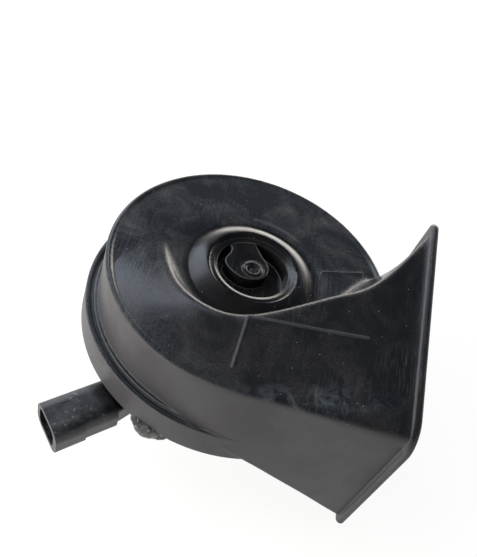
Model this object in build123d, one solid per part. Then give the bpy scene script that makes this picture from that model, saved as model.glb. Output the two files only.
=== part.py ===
from build123d import *
import os
from math import cos, radians, sin, sqrt, tan

# Electric disc horn with a snail trumpet. Millimetres. +Z is the disc axis, from the mounting stud
# towards the front face, and +X is the way the trumpet blows. The origin is where the axis meets the
# outer face of the core nut, which is the face that a bracket is clamped against.

# ---------------------------------------------------------------- driving dimensions

# overall heights above the bracket seat
face_z = 49.0             # flat rim of the front face
nut_height = 4.0
core_washer_thickness = 1.2
stud_length = 12.0
stud_radius = 4.0         # M8
shank_radius = 4.9        # the core's fine thread, for the core nut

# trumpet cover, one moulding
skirt_flare = 0.5         # the skirt is so much wider at its bottom
skirt_wall = 2.3          # at its bottom, which is the widest part of the round body
skirt_depth = 25.0        # bottom of the skirt below the face rim
wall = 2.0                # moulded wall
ledge_width = 3.5
ledge_wall = 2.1
ledge_depth = 16.4        # ledge below the face rim
wall_draft = 1.1          # the wall above the ledge leans in towards the face
bead_radius = 0.7         # half width of the bead round the face
face_drop = 0.6           # face below the bead
groove_width = 1.3
groove_depth = 1.0
rib_width = 0.4           # thin ribs on the face and on top of the duct
rib_height = 0.35
rib_spoke_angle = 20.0    # direction of the straight rib on the face

well_rim_radius = 13.6    # top of the dome, round the well in the middle of the face
well_rim_height = 1.0     # the same above the face rim
well_bead_radius = 10.9   # small bead round the edge of the well
well_bead_width = 0.5     # half of it
well_floor_radius = 9.8
well_depth = 4.6          # well floor below the face rim
dome_radius = 18.0        # foot of the dome round the well
valley_depth = 2.6        # floor between the dome and the volute crest
boss_radius = 3.4         # gate boss in the middle of the well
boss_crown = 2.2          # radius of the round rim on the boss
boss_dimple_depth = 1.3
boss_pin_radius = 0.6
boss_pin_height = 0.5

# volute and mouth
mouth_x = 46.6            # front of the mouth lip, half way across
mouth_centre_y = -12.0
crest_rise = 18.6         # inner top corner of the mouth above the face rim
lip_thickness = 2.0
lip_stand = 1.6           # lip beyond the duct walls
lip_top_stand = 0.8       # the same on top
lip_round = 0.9           # both edges of its rim
edge_radius = 0.9         # foot of the duct
top_edge_radius = 2.2     # outer top edge of the duct at the disc
mouth_edge_radius = 4.0   # the same at the mouth
crest_radius = 1.0        # crest along the duct
volute_radius = 1.4       # crest on the disc
volute_edge_drop = 0.3    # top of the volute below the bead at its outer edge
mouth_tilt = 0.045        # the mouth turns away from the outer side, in mm of X per mm of Y
mouth_tilt_start = 30.0   # where along X the tilt sets in
lip_corner = 8.5          # upper outer corner of the mouth
lip_small_corner = 2.5
outer_start = 0.5         # outer top edge of the duct above the face rim and outside the bead, at the disc
outer_rise = 4.4          # rise of that edge from the disc to the mouth
outer_spread = 2.8        # how far it moves outwards on the way
foot_inset = 0.3          # foot of the duct wall inside the top of the skirt, at the disc
foot_spread = 0.7         # how far the foot moves outwards to the mouth
floor_start = 20.1        # duct floor below the face rim at x = 0
floor_slope = 0.45        # fall of the duct floor towards the mouth

# base plate, which closes the volute from below
base_plate_thickness = 2.0
throat_radius = 8.0
throat_collar = 1.6       # collar round the throat
pan_wall = 1.0
rim_gap = 0.4             # folded rim of the driver housing inside the skirt
fold_width = 1.8          # how far the folded rim reaches over the base plate

# driver stack
gasket_thickness = 0.4
gasket_width = 5.4
diaphragm_thickness = 0.4
diaphragm_step_inset = 2.0    # step inside the shoulder of the driver housing
diaphragm_dish = 0.8
diaphragm_bend = 1.2      # width of the step between the rim and the dish
air_gap = 0.8             # armature to pole core

# driver housing (drawn steel pan)
seat_width = 10.4         # from the wall above the shoulder to the outside of the folded rim
shoulder_drop = 35.8      # underside of the shoulder below the face rim
bobbin_gap = 2.0          # cup wall outside the bobbin
draw_radius = 1.2         # bends of the drawn steel
stud_clearance = 0.1
hole_clearance = 0.15

# electromagnet
core_radius = 6.0
core_top_gap = 0.4        # pole core above the bobbin
bobbin_radius = 18.0
bobbin_wall = 1.2
bobbin_height = 13.4
winding_margin = 1.2      # bobbin flanges beyond the winding
hub_clearance = 0.1
armature_radius = 7.0
armature_flange_radius = 10.0
armature_flange = 2.7
spigot_radius = 3.0
rivet_head_radius = 4.6
rivet_head_height = 1.2
armature_washer_radius = 7.6
armature_washer_thickness = 0.8
nut_across_flats = 14.0
nut_chamfer = 0.6
core_washer_radius = 8.0
stud_chamfer = 0.8

# contact breaker, on the -X side of the coil
breaker_gap = 0.5         # outside the cup
breaker_wall_gap = 0.731  # from its back corners to the wall above the shoulder
breaker_back = 4.9        # from the rivet line to the back of the block
breaker_front = 2.5       # from the rivet line to its front
breaker_width = 18.0
breaker_rivet_pitch = 11.0
breaker_rivet_radius = 1.5
breaker_rivet_head = 2.4
arm_thickness = 0.4
arm_width = 8.0
arm_root_width = 15.6
arm_play = 0.1            # clearance of the arm below the armature flange and in its clamp
arm_notch = 0.5           # clearance of the arm round the armature
arm_inset = 2.0           # arm root inside the back of the block
contact_reach = 7.5       # from the rivet line to the contacts
contact_radius = 1.8
contact_height = 0.4
strip_thickness = 0.8
strip_tip = 2.3           # strip beyond the middle of the contact
screw_offset = 2.5        # screw behind the rivet line
screw_radius = 2.0
screw_length = 11.0
screw_stand = 1.4         # screw end outside the shoulder
seal_radius = 3.6
seal_height = 1.1
resistor_radius = 2.2
resistor_length = 10.0
resistor_angle = 140.0
resistor_offset = 4.5     # from the cup

# connector
connector_angle = -128.0  # direction of the flange and neck from the disc axis
connector_turn = -10.4    # the socket turns from there
connector_bend_inset = 0.4    # its bend inside the skirt's outside
connector_drop = 31.0     # socket centre below the face rim
socket_length = 17.3
socket_step = 8.2         # the socket is thicker over this length from its mouth
socket_step_width = 0.5
connector_width = 12.0    # across
connector_height = 10.0   # along Z
connector_corner = 3.4
connector_wall = 1.5
connector_cavity = 12.0
neck_width = 10.0
neck_height = 8.6
flange_width = 19.0
flange_height = 9.6
flange_thickness = 2.0
gasket_gap = 0.8          # rubber between the connector flange and the pan wall
spigot_width = 9.0
spigot_height = 5.0
spigot_inside = 2.0       # how far the connector reaches inside the pan
blade_width = 2.8
blade_thickness = 0.8
blade_pitch = 5.0
blade_recess = 3.0        # blade tips inside the socket mouth
blade_drop = 1.2          # blades below the middle of the spigot
blade_inside = 3.0        # solder tags inside the pan
connector_rivet_pitch = 14.6
connector_rivet_radius = 1.1
connector_rivet_head = 1.8
connector_rivet_dome = 0.7
spot_face = 1.0           # depth of the flat under each rivet head

# sealing compound beside the connector, run along the skirt's lower edge
compound_start = -118.5   # directions from the disc axis
compound_end = -104.0
compound_drop = 6.2       # how far it hangs below the skirt
compound_width = 4.8      # inwards from the skirt

# lumps along it: share of the way round, radius and drop below the skirt as shares of its own drop
compound_lumps = [(0.24, 0.42, 0.5), (0.5, 0.34, 0.6), (0.78, 0.4, 0.42)]

# ---------------------------------------------------------------- derived radii and levels

# The radii are built up from the coil outwards: the cup holds the bobbin, the shoulder holds the
# contact breaker, the gasket seat goes round it, and the skirt goes round the seat.
winding_radius = bobbin_radius - winding_margin
cup_radius = bobbin_radius + bobbin_gap + pan_wall
breaker_x = -(cup_radius + breaker_gap + breaker_front)   # also the bending line of the contact arm
breaker_back_x = breaker_x - breaker_back
breaker_front_x = breaker_x + breaker_front
contact_x = breaker_x + contact_reach
strip_end_x = contact_x + strip_tip
screw_x = breaker_x - screw_offset
resistor_place = cup_radius + resistor_offset
breaker_corner_radius = sqrt(breaker_back_x**2 + (breaker_width / 2) ** 2)
shoulder_radius = breaker_corner_radius + breaker_wall_gap + pan_wall
diaphragm_step_radius = shoulder_radius - diaphragm_step_inset
rim_outer_radius = shoulder_radius + seat_width
skirt_inner_radius = rim_outer_radius + rim_gap
skirt_bottom_radius = skirt_inner_radius + skirt_wall
connector_bend = skirt_bottom_radius - connector_bend_inset
skirt_top_radius = skirt_bottom_radius - skirt_flare
foot_radius = skirt_top_radius - ledge_width
face_radius = foot_radius - wall_draft
pan_back_z = nut_height + core_washer_thickness
pan_floor_z = pan_back_z + pan_wall
ledge_z = face_z - ledge_depth
skirt_bottom_z = face_z - skirt_depth
weld_z = ledge_z - ledge_wall
plate_bottom_z = weld_z - base_plate_thickness
upper_gasket_z = plate_bottom_z - gasket_thickness
diaphragm_z = upper_gasket_z - diaphragm_thickness
lower_gasket_z = diaphragm_z - gasket_thickness
dish_top_z = upper_gasket_z - diaphragm_dish
dish_bottom_z = dish_top_z - diaphragm_thickness
shoulder_z = face_z - shoulder_drop
shoulder_floor_z = shoulder_z + pan_wall
plate_radius = rim_outer_radius - pan_wall
fold_radius = rim_outer_radius - fold_width
gasket_inner_radius = plate_radius - gasket_width
bobbin_top_z = pan_floor_z + bobbin_height
core_top_z = bobbin_top_z + core_top_gap
armature_shoulder_z = dish_bottom_z - armature_flange
arm_top_z = armature_shoulder_z - arm_play
arm_bottom_z = arm_top_z - arm_thickness
block_top_z = arm_bottom_z - arm_play
contact_face_z = arm_top_z + contact_height
strip_bottom_z = contact_face_z + contact_height
strip_top_z = strip_bottom_z + strip_thickness
connector_z = face_z - connector_drop
flange_low_z = shoulder_z + draw_radius
spigot_z = flange_low_z + flange_height / 2
flange_out = shoulder_radius + gasket_gap + flange_thickness

# The volute's crest on the disc: angle, radius as a share of the face radius, height above the face rim
# as a share of the crest's rise, and how deep its outer wall lies inside the round wall. Then along the
# duct and the flare, as shares of the mouth's distance, the face radius and the rise: x, y, height, and
# the y at which the inner wall under it meets the face.
volute_crest = [
    (170, 0.655, -0.034, wall),
    (182, 0.630, -0.006, wall),
    (197, 0.598, 0.034, wall / 2),
    (219, 0.583, 0.093, wall / 10),
    (245, 0.563, 0.180, wall / 50),
]
duct_crest = [
    (0.0, -0.533, 0.269, -0.458),
    (0.270, -0.388, 0.409, -0.275),
    (0.481, -0.245, 0.521, -0.115),
    (0.644, -0.135, 0.602, 0.160),
    (0.751, 0.008, 0.694, 0.295),
    (0.863, 0.222, 0.818, 0.365),
    (1.0, 0.508, 1.0, 0.515),
]
# inner turn of the volute, from the throat to the start of the crest: radius as a share, and angle
inner_turn = [(0.275, -70), (0.30, -10), (0.365, 50), (0.46, 95), (0.57, 140), (0.63, 170)]
# frame line on top of the duct: x and y as shares of the face radius
duct_rib = [(-0.018, -0.898), (0.008, -0.545), (0.35, -0.533), (0.62, -0.518), (0.775, -0.508)]
# thin ribs on the face: the arc's radius as a share and its angles, and the two ends of the spoke
rib_arc = 0.533
rib_arc_angles = (55, 75, 96)
rib_spoke = (0.535, 0.875)
# tongue in the well: angles where it leaves the edge, and its sides as a share of the well floor's
# radius, and angle
tongue_rim_angles = (97, 117, 137)
tongue_sides = [
    (0.837, 154),
    (0.837, 176),
    (0.673, 200),
    (0.480, 240),
    (0.388, 290),
    (0.439, 350),
    (0.561, 52),
    (0.622, 69),
    (0.827, 85),
]

os.makedirs("parts", exist_ok=True)


def save(shape, node):
    """Write one sub-part to its own file."""
    export_step(shape, f"parts/{node}.step")


def turned(points):
    """Revolve a closed outline of (radius, height) points about the disc axis."""
    outline = Polyline(*[Vector(r, 0, z) for r, z in points], close=True)
    return revolve(make_face(outline), Axis.Z, 360)


def cylinder(radius, low, high, x=0, y=0):
    """A round bar along Z between two heights."""
    bar = Cylinder(radius, high - low, align=(Align.CENTER, Align.CENTER, Align.MIN))
    return Pos(x, y, low) * bar


def ring(outer, inner, low, high):
    """A flat ring between two heights."""
    return cylinder(outer, low, high) - cylinder(inner, low, high)


def block(low, high):
    """A box between two corners."""
    size = [b - a for a, b in zip(low, high)]
    return Pos(*low) * Box(*size, align=(Align.MIN, Align.MIN, Align.MIN))


def plan(radius, angle):
    """A point of the XY plane from its radius and its angle in degrees."""
    return radius * cos(radians(angle)), radius * sin(radians(angle))


# ---------------------------------------------------------------- trumpet cover


def rounded_wire(points, radii):
    """A closed outline through the points, each corner rounded by its own radius."""
    edges = []
    ends = []
    count = len(points)
    for i, radius in enumerate(radii):
        corner = points[i]
        back = (points[i - 1] - corner).normalized()
        ahead = (points[(i + 1) % count] - corner).normalized()
        half = radians(back.get_angle(ahead)) / 2
        start = corner + back * (radius / tan(half))
        end = corner + ahead * (radius / tan(half))
        centre = corner + (back + ahead).normalized() * (radius / sin(half))
        middle = centre + (corner - centre).normalized() * radius
        ends.append((start, middle, end))
    for i, (start, middle, end) in enumerate(ends):
        edges.append(Edge.make_three_point_arc(start, middle, end))
        edges.append(Edge.make_line(end, ends[(i + 1) % count][0]))
    return Wire(edges)


def duct_points(along, across, rise, base, inset):
    """Corners of the duct at one share of its length: foot, outer top, crest, inner base and floor."""
    x = mouth_x * along
    foot_y = -(skirt_top_radius - foot_inset + foot_spread * along) + inset
    top_y = -(face_radius + bead_radius + outer_start + outer_spread * along) + inset
    crest_y = face_radius * across - inset
    base_y = face_radius * base - inset
    floor_z = face_z - floor_start - floor_slope * x + inset
    top_z = face_z + outer_start + outer_rise * along - inset
    tilt = mouth_tilt * max(0, (x - mouth_tilt_start) / (mouth_x - mouth_tilt_start))
    corners = [
        (foot_y, floor_z),
        (top_y, top_z),
        (crest_y, face_z + crest_rise * rise - inset),
        (base_y, face_z - valley_depth - inset),
        (base_y, floor_z),
    ]
    return [Vector(x + tilt * (y - mouth_centre_y), y, z) for y, z in corners]


def duct_station(along, across, rise, base, inset):
    """The duct's outline there, with rounded corners."""
    points = duct_points(along, across, rise, base, inset)
    grown = top_edge_radius + (mouth_edge_radius - top_edge_radius) * along**4
    return rounded_wire(points, [edge_radius, grown, crest_radius, edge_radius, edge_radius])


def volute_station(angle, share, rise, depth, inset):
    """The same outline in a plane through the disc axis, under the round part of the face."""
    away = Vector(*plan(1, angle))
    radius = face_radius * share
    base_radius = radius - wall + inset
    profile = [
        (foot_radius - depth - inset, weld_z),
        (face_radius + bead_radius - depth - inset, face_z - volute_edge_drop - depth / 2 - inset),
        (radius + inset, face_z + crest_rise * rise - inset),
        (base_radius, face_z - valley_depth - inset),
        (base_radius, weld_z),
    ]
    points = [away * r + Vector(0, 0, z) for r, z in profile]
    small = crest_radius / 4
    return rounded_wire(points, [small, edge_radius / 2, volute_radius, small, small])


def coil(inset):
    """The whole duct: the rising coil on the face, the straight part and the flare to the mouth."""
    stations = [volute_station(*point, inset) for point in volute_crest]
    stations += [duct_station(*point, inset) for point in duct_crest]
    return Solid.make_loft(stations)


def face_curve():
    """Curved part of the face's half section: over the dome round the well and down to the flat."""
    bead = well_bead_radius
    half = well_bead_width
    slope = dome_radius - well_rim_radius
    return [
        (well_floor_radius + half, face_z - half * 2),
        (bead - half * 0.5, face_z - half * 0.2),
        (bead + half * 0.5, face_z - half * 0.1),
        (bead + half * 2.2, face_z - half * 0.9),
        (well_rim_radius - slope * 0.15, face_z + well_rim_height * 0.6),
        (well_rim_radius + slope * 0.15, face_z + well_rim_height),
        (dome_radius - slope * 0.42, face_z - valley_depth * 0.12),
        (dome_radius, face_z - valley_depth * 0.6),
        (dome_radius + slope * 0.57, face_z - valley_depth * 0.5),
        (dome_radius + slope * 1.36, face_z - face_drop),
    ]


def curved_turned(runs):
    """Revolve a closed outline made of runs of points: two are joined straight, more by a curve."""
    edges = []
    for run in runs:
        points = [Vector(r, 0, z) for r, z in run]
        edges.append(Edge.make_line(*points) if len(points) == 2 else Edge.make_spline(points))
    return revolve(Face(Wire(edges)), Axis.Z, 360)


def disc_body():
    """The round part of the cover as a solid: face, bead, wall, ledge and skirt."""
    groove_in = foot_radius + (ledge_width - groove_width) / 2
    groove_out = groove_in + groove_width
    flat_z = face_z - face_drop
    well = [(0, weld_z), (0, face_z - well_depth), (well_floor_radius, face_z - well_depth)]
    dome = face_curve()
    bead = [
        (face_radius - bead_radius * 2, flat_z),
        (face_radius - bead_radius * 1.2, flat_z + face_drop * 0.6),
        (face_radius - bead_radius * 0.3, face_z),
        (face_radius + bead_radius * 0.6, face_z - bead_radius * 0.4),
        (face_radius + bead_radius, face_z - bead_radius * 1.4),
    ]
    sides = [
        bead[-1],
        (foot_radius, ledge_z),
        (groove_in, ledge_z),
        (groove_in, ledge_z - groove_depth),
        (groove_out, ledge_z - groove_depth),
        (groove_out, ledge_z),
        (skirt_top_radius, ledge_z),
        (skirt_bottom_radius, skirt_bottom_z),
        (skirt_inner_radius, skirt_bottom_z),
        (skirt_inner_radius, weld_z),
        well[0],
    ]
    straight = list(zip(well, well[1:])) + [(well[-1], dome[0])]
    return curved_turned(straight + [dome, (dome[-1], bead[0]), bead] + list(zip(sides, sides[1:])))


def disc_cavity():
    """The air under the face, inside the round wall."""
    top_z = face_z - wall
    return turned([
        (0, weld_z),
        (0, top_z - well_depth),
        (well_floor_radius + wall, top_z - well_depth),
        (well_rim_radius, top_z),
        (well_rim_radius + wall / 2, top_z + well_rim_height * 0.7),
        (dome_radius, top_z - valley_depth * 0.6),
        (dome_radius * 1.2, top_z - valley_depth * 0.5),
        (dome_radius * 1.35, top_z - face_drop),
        (face_radius - wall, top_z - face_drop),
        (foot_radius - wall, weld_z),
    ])


def turn_wall():
    """The spiral wall between the throat chamber and the duct, in plan, full height."""
    outer = [Vector(*plan(face_radius * share + wall / 2, angle)) for share, angle in inner_turn]
    inner = [Vector(*plan(face_radius * share - wall / 2, angle)) for share, angle in inner_turn]
    outline = Wire([
        Edge.make_spline(outer),
        Edge.make_line(outer[-1], inner[-1]),
        Edge.make_spline(inner[::-1]),
        Edge.make_line(inner[0], outer[0]),
    ])
    return extrude(Pos(0, 0, weld_z) * Face(outline), face_z - weld_z)


def well_tongue():
    """The flat tongue from the edge of the well to the gate boss, and the dimpled boss."""
    floor_z = face_z - well_depth
    rim = [Vector(*plan(well_bead_radius, angle)) for angle in tongue_rim_angles]
    sides = [Vector(*plan(well_floor_radius * share, angle)) for share, angle in tongue_sides]
    edge = [rim[-1]] + sides + [rim[0]]
    outline = Face(Wire([Edge.make_three_point_arc(*rim), Edge.make_spline(edge)]))
    tongue_height = well_depth + wall / 2 - boss_pin_height
    tongue = extrude(Pos(0, 0, floor_z - wall / 2) * outline, tongue_height)
    low = face_z - boss_dimple_depth
    crown = [
        (boss_radius, face_z - boss_pin_height - 0.3),
        (boss_crown + 0.5, face_z - 0.2),
        (boss_crown, face_z),
        (boss_crown - 0.5, face_z - 0.3),
        (boss_pin_radius, low),
    ]
    pin = [(boss_pin_radius, low), (boss_pin_radius, low + boss_pin_height), (0, low + boss_pin_height)]
    sides = pin + [(0, floor_z), (boss_radius, floor_z), crown[0]]
    bore = cylinder(boss_radius - 0.1, floor_z, face_z)
    return tongue - bore + curved_turned([crown] + list(zip(sides, sides[1:])))


def mouth_plate(stand, top_stand):
    """A plate of the lip's thickness over the whole mouth, its rim so far beyond the duct walls."""
    points = duct_points(*duct_crest[-1], -stand)
    top = duct_points(*duct_crest[-1], -top_stand)
    points[1] = Vector(points[1].X, points[1].Y, top[1].Z)
    points[2] = top[2]
    corner = lip_small_corner
    outline = rounded_wire(points, [corner, lip_corner, corner, corner, corner])
    return extrude(Face(outline), amount=lip_thickness, dir=(-1, mouth_tilt, 0))


def mouth_lip():
    """The collar round the mouth, with a round rim."""
    plate = mouth_plate(lip_stand, lip_top_stand)
    ends = plate.faces().sort_by(Axis.X)
    return fillet(ends[0].edges() + ends[-1].edges(), lip_round)


def ribs():
    """Thin raised lines: an arc and a spoke on the flat of the face, a bent line on top of the duct."""
    top_z = face_z - face_drop + rib_height
    arc = [Vector(*plan(face_radius * rib_arc, angle)) for angle in rib_arc_angles]
    spoke = [Vector(*plan(face_radius * share, rib_spoke_angle)) for share in rib_spoke]
    bend = [Vector(face_radius * x, face_radius * y) for x, y in duct_rib]
    arc_rib = trace(Edge.make_three_point_arc(*arc), rib_width)
    spoke_rib = trace(Edge.make_line(*spoke), rib_width)
    duct_line = trace(Polyline(*bend), rib_width)
    lines = extrude(Pos(0, 0, top_z - wall) * arc_rib, wall - rib_height)
    lines += extrude(Pos(0, 0, top_z - wall) * spoke_rib, wall)
    return lines + (coil(-rib_height) & extrude(Pos(0, 0, face_z) * duct_line, crest_rise))


def trumpet_cover():
    """The black moulding: face with its volute, round wall, skirt ring, duct and mouth."""
    duct = coil(0)
    air = coil(wall)
    under = cylinder(skirt_inner_radius, 0, weld_z)
    skirted = cylinder(skirt_bottom_radius, 0, weld_z)
    behind = duct - under - mouth_plate(2 * lip_stand, 2 * lip_stand)
    body = disc_body() + behind + mouth_lip()
    cover = body - (disc_cavity() - duct - turn_wall()) - (air - skirted)
    return cover + well_tongue() + ribs()


save(trumpet_cover(), "trumpet_cover")

# ---------------------------------------------------------------- base plate and driver stack


def base_plate():
    """Moulded floor of the volute with the throat; its edge is lowered for the folded rim."""
    fold_z = weld_z - pan_wall
    plate = turned([
        (throat_radius, plate_bottom_z),
        (plate_radius, plate_bottom_z),
        (plate_radius, fold_z),
        (fold_radius, fold_z),
        (fold_radius, weld_z),
        (throat_radius + throat_collar, weld_z),
        (throat_radius + throat_collar * 0.6, weld_z + throat_collar),
        (throat_radius, weld_z + throat_collar),
    ])
    return plate


def diaphragm():
    """Thin steel disc, dished in the middle, clamped at its rim."""
    return turned([
        (spigot_radius, dish_bottom_z),
        (diaphragm_step_radius, dish_bottom_z),
        (diaphragm_step_radius + diaphragm_bend, diaphragm_z),
        (plate_radius, diaphragm_z),
        (plate_radius, upper_gasket_z),
        (diaphragm_step_radius + diaphragm_bend / 2, upper_gasket_z),
        (diaphragm_step_radius - diaphragm_bend / 2, dish_top_z),
        (spigot_radius, dish_top_z),
    ])


def driver_housing():
    """Drawn steel pan: cup for the coil, shoulder for the breaker, rim folded over the stack."""
    r = draw_radius
    hole = shank_radius + stud_clearance
    cup_inner = cup_radius - pan_wall
    wall_inner = shoulder_radius - pan_wall
    pan = turned([
        (hole, pan_back_z),
        (cup_radius - r, pan_back_z),
        (cup_radius, pan_back_z + r),
        (cup_radius, shoulder_z),
        (shoulder_radius - r, shoulder_z),
        (shoulder_radius, shoulder_z + r),
        (shoulder_radius, lower_gasket_z - pan_wall),
        (rim_outer_radius - r * 0.5, lower_gasket_z - pan_wall),
        (rim_outer_radius, lower_gasket_z - pan_wall + r * 0.5),
        (rim_outer_radius, weld_z - r * 0.4),
        (rim_outer_radius - r * 0.4, weld_z),
        (fold_radius, weld_z),
        (fold_radius, weld_z - pan_wall),
        (plate_radius, weld_z - pan_wall),
        (plate_radius, lower_gasket_z),
        (wall_inner, lower_gasket_z),
        (wall_inner, shoulder_floor_z + r * 0.5),
        (wall_inner - r * 0.5, shoulder_floor_z),
        (cup_inner, shoulder_floor_z),
        (cup_inner, pan_floor_z + r * 0.5),
        (cup_inner - r * 0.5, pan_floor_z),
        (hole, pan_floor_z),
    ])
    pan -= cylinder(screw_radius, shoulder_z, shoulder_floor_z, screw_x)
    pan -= at_connector(spigot_block(hole_clearance))
    for side in (-1, 1):
        pan -= at_connector(rivet_bar(side, connector_rivet_radius, 0, shoulder_radius + 1))
    return pan


def at_connector(shape):
    """Turn a shape built along +X to the connector's direction."""
    return Rot(0, 0, connector_angle) * shape


def spigot_block(clearance):
    """The part of the connector that passes through the pan wall."""
    half = spigot_width / 2 + clearance
    height = spigot_height / 2 + clearance
    low = (shoulder_radius - pan_wall - spigot_inside, -half, spigot_z - height)
    return block(low, (shoulder_radius + gasket_gap + 1, half, spigot_z + height))


def rivet_bar(side, radius, low, high):
    """A round bar on one connector rivet's line between two distances from the disc axis."""
    bar = Rot(0, 90, 0) * cylinder(radius, low, high)
    return Pos(0, side * connector_rivet_pitch / 2, spigot_z) * bar


save(base_plate(), "base_plate")
save(ring(plate_radius, gasket_inner_radius, upper_gasket_z, plate_bottom_z), "upper_gasket")
save(diaphragm(), "diaphragm")
save(ring(plate_radius, gasket_inner_radius, lower_gasket_z, diaphragm_z), "lower_gasket")
save(driver_housing(), "driver_housing")

# ---------------------------------------------------------------- armature and pole core


def armature():
    """Soft iron armature, riveted through the diaphragm and its washer."""
    spigot_top_z = dish_top_z + armature_washer_thickness
    return turned([
        (0, core_top_z + air_gap),
        (armature_radius, core_top_z + air_gap),
        (armature_radius, armature_shoulder_z),
        (armature_flange_radius, armature_shoulder_z),
        (armature_flange_radius, dish_bottom_z),
        (spigot_radius, dish_bottom_z),
        (spigot_radius, spigot_top_z),
        (rivet_head_radius, spigot_top_z),
        (rivet_head_radius * 0.6, spigot_top_z + rivet_head_height),
        (0, spigot_top_z + rivet_head_height),
    ])


def pole_core():
    """Iron core of the magnet in one piece with the mounting stud."""
    return turned([
        (0, -stud_length),
        (stud_radius - stud_chamfer, -stud_length),
        (stud_radius, stud_chamfer - stud_length),
        (stud_radius, 0),
        (shank_radius, 0),
        (shank_radius, pan_floor_z),
        (core_radius, pan_floor_z),
        (core_radius, core_top_z),
        (0, core_top_z),
    ])


def core_nut():
    """Hexagon nut that pulls the core against the pan."""
    hexagon = RegularPolygon(nut_across_flats / 2, 6, major_radius=False)
    nut = extrude(hexagon, nut_height)
    corner = nut_across_flats / sqrt(3)
    crown = turned([
        (shank_radius, 0),
        (corner - nut_chamfer * sqrt(3), 0),
        (corner, nut_chamfer),
        (corner, nut_height - nut_chamfer),
        (corner - nut_chamfer * sqrt(3), nut_height),
        (shank_radius, nut_height),
    ])
    return nut & crown


save(armature(), "armature")
washer_top_z = dish_top_z + armature_washer_thickness
save(ring(armature_washer_radius, spigot_radius, dish_top_z, washer_top_z), "armature_washer")
save(pole_core(), "pole_core")
save(ring(core_washer_radius, shank_radius, nut_height, pan_back_z), "core_washer")
save(core_nut(), "core_nut")

# ---------------------------------------------------------------- coil


def coil_bobbin():
    """Plastic spool round the pole core."""
    hub_inner = core_radius + hub_clearance
    hub_outer = hub_inner + bobbin_wall
    return turned([
        (hub_inner, pan_floor_z),
        (bobbin_radius, pan_floor_z),
        (bobbin_radius, pan_floor_z + bobbin_wall),
        (hub_outer, pan_floor_z + bobbin_wall),
        (hub_outer, bobbin_top_z - bobbin_wall),
        (bobbin_radius, bobbin_top_z - bobbin_wall),
        (bobbin_radius, bobbin_top_z),
        (hub_inner, bobbin_top_z),
    ])


def coil_winding():
    """The wound copper between the two flanges of the bobbin."""
    inner = core_radius + hub_clearance + bobbin_wall
    return ring(winding_radius, inner, pan_floor_z + bobbin_wall, bobbin_top_z - bobbin_wall)


save(coil_bobbin(), "coil_bobbin")
save(coil_winding(), "coil_winding")

# ---------------------------------------------------------------- contact breaker


def rivet_pair(radius, low, high):
    """The two round bars at the breaker's rivet positions."""
    half = breaker_rivet_pitch / 2
    return cylinder(radius, low, high, breaker_x, half) + cylinder(radius, low, high, breaker_x, -half)


def breaker_block(low, high, width):
    """A block or plate of the breaker's length between two heights."""
    plate = block((breaker_back_x, -width / 2, low), (breaker_front_x, width / 2, high))
    return plate


def contact_base():
    """Insulating block on the shoulder of the pan."""
    base = breaker_block(shoulder_floor_z, block_top_z, breaker_width)
    base -= rivet_pair(breaker_rivet_radius, shoulder_floor_z, block_top_z)
    return base - cylinder(screw_radius, shoulder_floor_z, block_top_z, screw_x)


def contact_spacer():
    """Insulating plate between the arm and the fixed strip, recessed over the arm."""
    spacer = breaker_block(block_top_z, strip_bottom_z, breaker_width)
    recess = arm_root_width + 2 * arm_play
    spacer -= block((breaker_back_x - 1, -recess / 2, block_top_z), (0, recess / 2, arm_top_z + arm_play))
    return spacer - rivet_pair(breaker_rivet_radius, block_top_z, strip_bottom_z)


def fixed_contact_strip():
    """Brass strip that carries the fixed contact above the arm."""
    strip = breaker_block(strip_bottom_z, strip_top_z, breaker_width)
    half = arm_width / 2
    strip += block((breaker_front_x, -half, strip_bottom_z), (strip_end_x, half, strip_top_z))
    return strip - rivet_pair(breaker_rivet_radius, strip_bottom_z, strip_top_z)


def contact_arm():
    """Spring arm from its clamp to under the armature flange."""
    half = arm_root_width / 2
    root = breaker_back_x + arm_inset
    arm = block((root, -half, arm_bottom_z), (breaker_front_x, half, arm_top_z))
    arm += block((breaker_x, -arm_width / 2, arm_bottom_z), (-armature_radius, arm_width / 2, arm_top_z))
    arm -= cylinder(armature_radius + arm_notch, arm_bottom_z, arm_top_z)
    return arm - rivet_pair(breaker_rivet_radius + 2 * arm_play, arm_bottom_z, arm_top_z)


def contact_rivets():
    """The two rivets that hold block, spacer and strip together."""
    head_z = strip_top_z + 0.6
    rivets = rivet_pair(breaker_rivet_radius, shoulder_floor_z, head_z)
    return rivets + rivet_pair(breaker_rivet_head, strip_top_z, head_z)


def arc_resistor():
    """Small resistor lying on the shoulder of the pan."""
    body = Rot(90, 0, 0) * Cylinder(resistor_radius, resistor_length)
    lift = shoulder_floor_z + resistor_radius
    return Rot(0, 0, resistor_angle) * Pos(resistor_place, 0, lift) * body


def adjusting_screw():
    """Headless screw from the back of the pan into the contact block."""
    low = shoulder_z - screw_stand
    return cylinder(screw_radius, low, low + screw_length, screw_x)


def adjusting_screw_seal():
    """Drop of sealing lacquer round the end of the adjusting screw."""
    low = shoulder_z - seal_height
    drop = turned([
        (screw_radius, low),
        (seal_radius - 1.0, low),
        (seal_radius, low + seal_height * 0.6),
        (seal_radius, shoulder_z),
        (screw_radius, shoulder_z),
    ])
    return Pos(screw_x, 0, 0) * drop


save(contact_base(), "contact_base")
save(contact_spacer(), "contact_spacer")
save(fixed_contact_strip(), "fixed_contact_strip")
save(cylinder(contact_radius, contact_face_z, strip_bottom_z, contact_x), "fixed_contact")
save(contact_arm(), "contact_arm")
save(cylinder(contact_radius, arm_top_z, contact_face_z, contact_x), "moving_contact")
save(contact_rivets(), "contact_rivets")
save(arc_resistor(), "arc_resistor")
save(adjusting_screw(), "adjusting_screw")
save(adjusting_screw_seal(), "adjusting_screw_seal")

# ---------------------------------------------------------------- connector


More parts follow.
